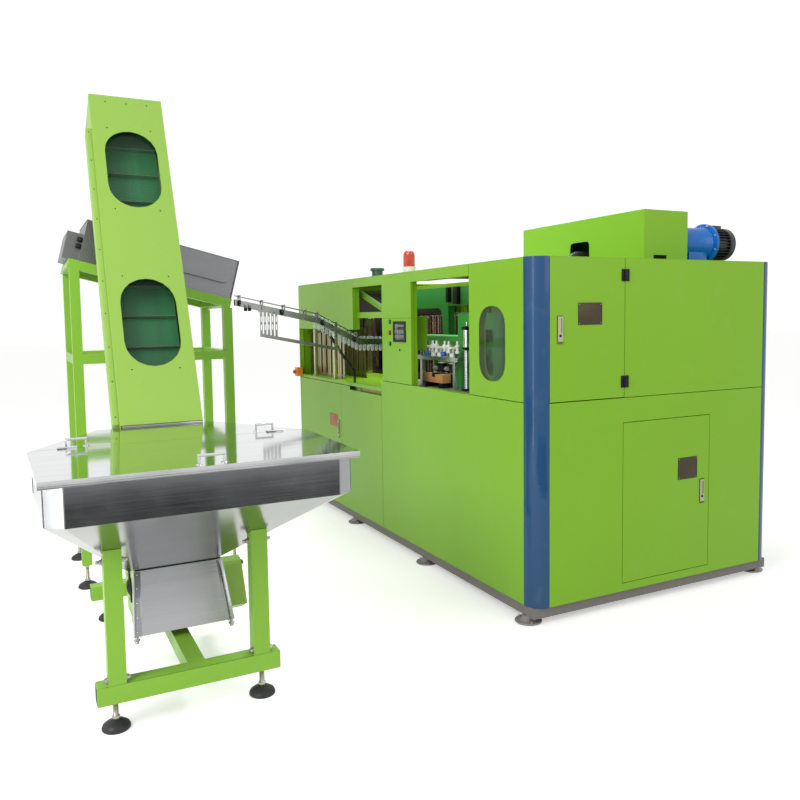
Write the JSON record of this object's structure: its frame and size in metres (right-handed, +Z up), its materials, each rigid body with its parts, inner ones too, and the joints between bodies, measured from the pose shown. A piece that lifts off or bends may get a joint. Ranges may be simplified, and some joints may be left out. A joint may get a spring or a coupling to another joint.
{
  "type": "stretch blow moulding machine",
  "caption": "Long sheet-steel stretch blow moulding machine for plastic bottles, with a preform hopper, leaning belt elevator, roller unscrambler and gravity feed rail.",
  "frame": {"origin": "on the floor, under the middle of the whole machine's bounding box", "axes": "+Z up; +X along the cabinet's long front towards its right end, -Y towards the feeder in front of it"},
  "size_m": [4.247, 4.4202, 3.1013],
  "materials": {
    "blue_paint": "satin",
    "plinth_paint": "satin",
    "grey_paint": "satin",
    "dark_green_paint": "satin",
    "stainless": "brushed",
    "trough_grey": "satin",
    "machined_steel": "machined",
    "bright_steel": "polished",
    "foot_steel": "satin",
    "blue_enamel": "gloss",
    "black_paint": "satin",
    "cap_green": "satin",
    "red_lens": "gloss",
    "screen_black": "gloss",
    "orange_plastic": "satin",
    "red_plastic": "gloss",
    "green_plastic": "gloss",
    "clear_glass": "clear",
    "belt_green": "matte",
    "strut_black": "satin",
    "lever_chrome": "polished",
    "green_paint": "satin"
  },
  "bodies": {
    "machine": {"base_frame": "plinth_paint", "machine_feet": "foot_steel", "main_frame": "green_paint", "machine_bed": "grey_paint", "entry_deck": "green_paint", "corner_columns": "blue_paint", "front_lower_panels": "green_paint", "control_fascia": "green_paint", "operator_screen": "screen_black", "front_upper_panels": "green_paint", "window_panes": "clear_glass", "end_panels": "green_paint", "back_covers": "green_paint", "roof": "green_paint", "roof_box": "green_paint", "fan_housing": "blue_enamel", "fan_motor": "black_paint", "beacon_dome": "red_lens", "vent_cap": "cap_green", "emergency_box": "orange_plastic", "portal_frame": "dark_green_paint", "oven": "stainless", "entry_ribs": "stainless", "fixed_platen": "machined_steel", "blow_cylinders": "machined_steel", "gripper_rail": "stainless", "drive_motors": "black_paint", "feeder_stand": "green_paint", "small_feet": "foot_steel", "hopper_bin": "stainless", "hopper_rear_lid": "stainless", "elevator_casing": "green_paint", "elevator_cover": "green_paint", "elevator_belt": "belt_green", "boot_apron": "stainless", "elevator_drive": "green_paint", "unscrambler_stand": "green_paint", "unscrambler_trough": "trough_grey", "feed_rail": "stainless", "rail_struts": "strut_black"},
    "end_upper_door_body": {"end_upper_door": "green_paint"},
    "end_lower_door_body": {"end_lower_door": "green_paint"},
    "front_door_body": {"front_door": "green_paint"},
    "upper_lever_body": {"upper_lever": "lever_chrome"},
    "lower_lever_body": {"lower_lever": "lever_chrome"},
    "front_lever_body": {"front_lever": "lever_chrome"},
    "sliding_door_body": {"sliding_door": "green_paint", "sliding_door_pane": "clear_glass"},
    "start_button_body": {"start_button": "green_plastic"},
    "halt_button_body": {"halt_button": "red_plastic"},
    "reset_button_body": {"reset_button": "green_plastic"},
    "emergency_button_body": {"emergency_button": "red_plastic"},
    "moving_platen_body": {"moving_platen": "machined_steel"},
    "blow_head_body": {"blow_head": "machined_steel"},
    "hopper_flap_body": {"hopper_flap": "stainless"},
    "tail_drum_body": {"tail_drum": "bright_steel"},
    "head_drum_body": {"head_drum": "bright_steel"},
    "roller_front_body": {"roller_front": "bright_steel"},
    "roller_back_body": {"roller_back": "bright_steel"}
  },
  "joints": [
    {"name": "upper_door_hinge", "type": "hinge", "parent": "machine", "child": "end_upper_door_body", "pos_m": [1.67, 0.90286, 1.65], "axis": [0, 0, 1], "range_deg": [0, 110]},
    {"name": "lower_door_hinge", "type": "hinge", "parent": "machine", "child": "end_lower_door_body", "pos_m": [1.6555, 0.90686, 0.626], "axis": [0, 0, -1], "range_deg": [0, 105]},
    {"name": "front_door_hinge", "type": "hinge", "parent": "machine", "child": "front_door_body", "pos_m": [-2.0815, 0.27286, 0.632], "axis": [0, 0, -1], "range_deg": [0, 105]},
    {"name": "upper_lever_pivot", "type": "hinge", "parent": "end_upper_door_body", "child": "upper_lever_body", "pos_m": [1.6625, 0.43586, 1.587], "axis": [0, 1, 0], "range_deg": [0, 35]},
    {"name": "lower_lever_pivot", "type": "hinge", "parent": "end_lower_door_body", "child": "lower_lever_body", "pos_m": [1.6625, 1.53886, 0.567], "axis": [0, 1, 0], "range_deg": [0, 35]},
    {"name": "front_lever_pivot", "type": "hinge", "parent": "front_door_body", "child": "front_lever_body", "pos_m": [-1.1425, 0.26586, 0.705], "axis": [1, 0, 0], "range_deg": [0, 35]},
    {"name": "guard_door_slide", "type": "slide", "parent": "machine", "child": "sliding_door_body", "axis": [-1, 0, 0], "range_m": [0, 0.65]},
    {"name": "start_button_press", "type": "slide", "parent": "machine", "child": "start_button_body", "axis": [0, 1, 0], "range_m": [0, 0.004], "stiffness_N_per_m": 400},
    {"name": "halt_button_press", "type": "slide", "parent": "machine", "child": "halt_button_body", "axis": [0, 1, 0], "range_m": [0, 0.004], "stiffness_N_per_m": 400},
    {"name": "reset_button_press", "type": "slide", "parent": "machine", "child": "reset_button_body", "axis": [0, 1, 0], "range_m": [0, 0.004], "stiffness_N_per_m": 400},
    {"name": "emergency_button_press", "type": "slide", "parent": "machine", "child": "emergency_button_body", "axis": [0, 1, 0], "range_m": [0, 0.006]},
    {"name": "clamp_slide", "type": "slide", "parent": "machine", "child": "moving_platen_body", "axis": [0, 1, 0], "range_m": [0, 0.15]},
    {"name": "blow_head_slide", "type": "slide", "parent": "machine", "child": "blow_head_body", "axis": [0, 0, -1], "range_m": [0, 0.06]},
    {"name": "hopper_flap_hinge", "type": "hinge", "parent": "machine", "child": "hopper_flap_body", "pos_m": [1.4035, -1.58014, 1.185], "axis": [0, -1, 0], "range_deg": [0, 100]},
    {"name": "head_drum_spin", "type": "hinge", "parent": "machine", "child": "head_drum_body", "pos_m": [-0.14154, -1.55514, 2.85567], "axis": [0, 1, 0], "continuous": true},
    {"name": "tail_drum_spin", "type": "hinge", "parent": "machine", "child": "tail_drum_body", "pos_m": [1.02645, -1.55514, 0.39589], "axis": [0, 1, 0], "continuous": true},
    {"name": "roller_front_spin", "type": "hinge", "parent": "machine", "child": "roller_front_body", "pos_m": [-0.5565, -1.32362, 2.13976], "axis": [0, 0.9694, -0.2453], "continuous": true},
    {"name": "roller_back_spin", "type": "hinge", "parent": "machine", "child": "roller_back_body", "pos_m": [-0.6565, -1.32362, 2.13976], "axis": [0, 0.9694, -0.2453], "continuous": true}
  ],
  "couplings": [
    {"joint": "tail_drum_spin", "follows": "head_drum_spin", "ratio": 1},
    {"joint": "roller_back_spin", "follows": "roller_front_spin", "ratio": -1}
  ]
}
